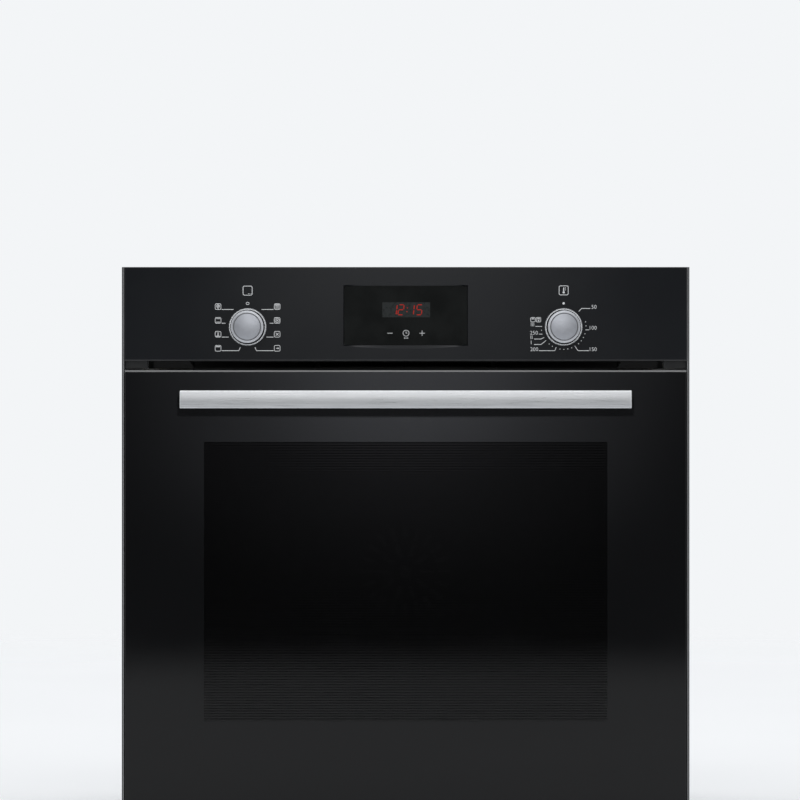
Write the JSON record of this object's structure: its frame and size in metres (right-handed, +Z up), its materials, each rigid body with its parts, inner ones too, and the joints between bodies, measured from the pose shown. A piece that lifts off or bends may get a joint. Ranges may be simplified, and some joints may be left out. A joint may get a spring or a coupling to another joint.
{
  "type": "wall oven",
  "caption": "Built-in electric wall oven with a drop-down glass door, bar handle, clock display and push-in rotary knobs.",
  "frame": {"origin": "middle of the footprint, on the surface the oven stands on", "axes": "+Z up, the front with the door faces -Y, +X to the right seen from the front"},
  "size_m": [0.594, 0.59, 0.595],
  "materials": {
    "black_fascia": "satin black",
    "display_glass": "glossy near-black",
    "module_plastic": "matt black",
    "circuit_board": "green lacquered board",
    "knob_ring": "satin chrome",
    "knob_silver": "satin silver",
    "plated_steel": "zinc plated",
    "switch_plastic": "matt off-white",
    "galvanised_steel": "galvanised sheet",
    "trim_grey": "satin grey",
    "corner_plastic": "matt dark grey",
    "outlet_plastic": "matt black",
    "black_steel": "black powder coat",
    "gland_plastic": "matt dark grey",
    "enamel": "vitreous enamel, fine light flecks",
    "seal_rubber": "matt heat-proof seal",
    "mineral_wool": "fibrous blanket",
    "chrome_wire": "bright plated wire",
    "element_steel": "dark heat-tinted tube",
    "fan_aluminium": "stamped aluminium",
    "motor_steel": "plated motor can",
    "lamp_glass": "clear pressed glass",
    "bulb_glass": "clear bulb",
    "ceramic": "unglazed ceramic",
    "hinge_steel": "zinc plated plate",
    "spring_steel": "oiled spring wire",
    "black_glass": "black printed glass",
    "clear_glass": "clear toughened glass",
    "trim_aluminium": "satin anodised",
    "brushed_handle": "brushed along its length",
    "post_metal": "satin dark grey"
  },
  "bodies": {
    "oven_body": {"air_outlet": "outlet_plastic", "back_panel": "galvanised_steel", "base_plate": "galvanised_steel", "blower_housing": "galvanised_steel", "blower_motor": "motor_steel", "bottom_element": "element_steel", "bottom_rail": "black_steel", "casing_left": "galvanised_steel", "casing_right": "galvanised_steel", "casing_screws": "plated_steel", "casing_top": "galvanised_steel", "cavity_liner": "enamel", "control_board": "circuit_board", "control_panel": "black_fascia", "convection_motor": "motor_steel", "cooling_duct": "black_steel", "cord_gland": "gland_plastic", "display_glass": "display_glass", "display_module": "module_plastic", "door_seal": "seal_rubber", "fan_baffle": "enamel", "frame_corners": "corner_plastic", "front_frame": "enamel", "function_switch": "switch_plastic", "grill_element": "element_steel", "hinge_arms": "hinge_steel", "insulation": "mineral_wool", "knob_bezels": "knob_ring", "lamp_bulb": "bulb_glass", "lamp_cover": "lamp_glass", "lamp_socket": "ceramic", "panel_bracket": "galvanised_steel", "rear_cover": "galvanised_steel", "ring_element": "element_steel", "shelf_rack_left": "chrome_wire", "shelf_rack_right": "chrome_wire", "side_trim_left": "trim_grey", "side_trim_right": "trim_grey", "terminal_box": "module_plastic", "thermostat": "plated_steel", "thermostat_probe": "plated_steel", "wire_shelf": "chrome_wire"},
    "door": {"door_outer_glass": "black_glass", "door_middle_glass": "clear_glass", "door_inner_glass": "clear_glass", "door_top_trim": "trim_aluminium", "door_bottom_profile": "black_steel", "door_side_profiles": "black_steel", "handle_bar": "brushed_handle", "handle_posts": "post_metal", "handle_screws": "plated_steel", "hinge_channels": "hinge_steel", "hinge_pins": "plated_steel", "hinge_springs": "spring_steel"},
    "function_shaft": {"function_spindle": "plated_steel"},
    "function_dial": {"function_knob": "knob_silver"},
    "temperature_shaft": {"temperature_spindle": "plated_steel"},
    "temperature_dial": {"temperature_knob": "knob_silver"},
    "convection_rotor": {"convection_fan": "fan_aluminium"},
    "blower_rotor": {"blower_drum": "fan_aluminium"}
  },
  "joints": [
    {"name": "door_hinge", "type": "hinge", "parent": "oven_body", "child": "door", "pos_m": [0, -0.2395, 0.027], "axis": [1, 0, 0], "range_deg": [0, 90], "stiffness_Nm_per_rad": 7, "springref_deg": -14.32},
    {"name": "function_turn", "type": "hinge", "parent": "oven_body", "child": "function_shaft", "pos_m": [-0.1653, -0.26, 0.5323], "axis": [0, 1, 0], "range_deg": [-160, 160]},
    {"name": "function_push", "type": "slide", "parent": "function_shaft", "child": "function_dial", "axis": [0, 1, 0], "range_m": [0, 0.014], "stiffness_N_per_m": 300},
    {"name": "temperature_turn", "type": "hinge", "parent": "oven_body", "child": "temperature_shaft", "pos_m": [0.1653, -0.26, 0.5323], "axis": [0, 1, 0], "range_deg": [0, 272]},
    {"name": "temperature_push", "type": "slide", "parent": "temperature_shaft", "child": "temperature_dial", "axis": [0, 1, 0], "range_m": [0, 0.014], "stiffness_N_per_m": 300},
    {"name": "convection_fan_turn", "type": "hinge", "parent": "oven_body", "child": "convection_rotor", "pos_m": [0, 0.19, 0.26], "axis": [0, 1, 0], "continuous": true},
    {"name": "blower_turn", "type": "hinge", "parent": "oven_body", "child": "blower_rotor", "pos_m": [0, -0.02, 0.522], "axis": [1, 0, 0], "continuous": true}
  ]
}
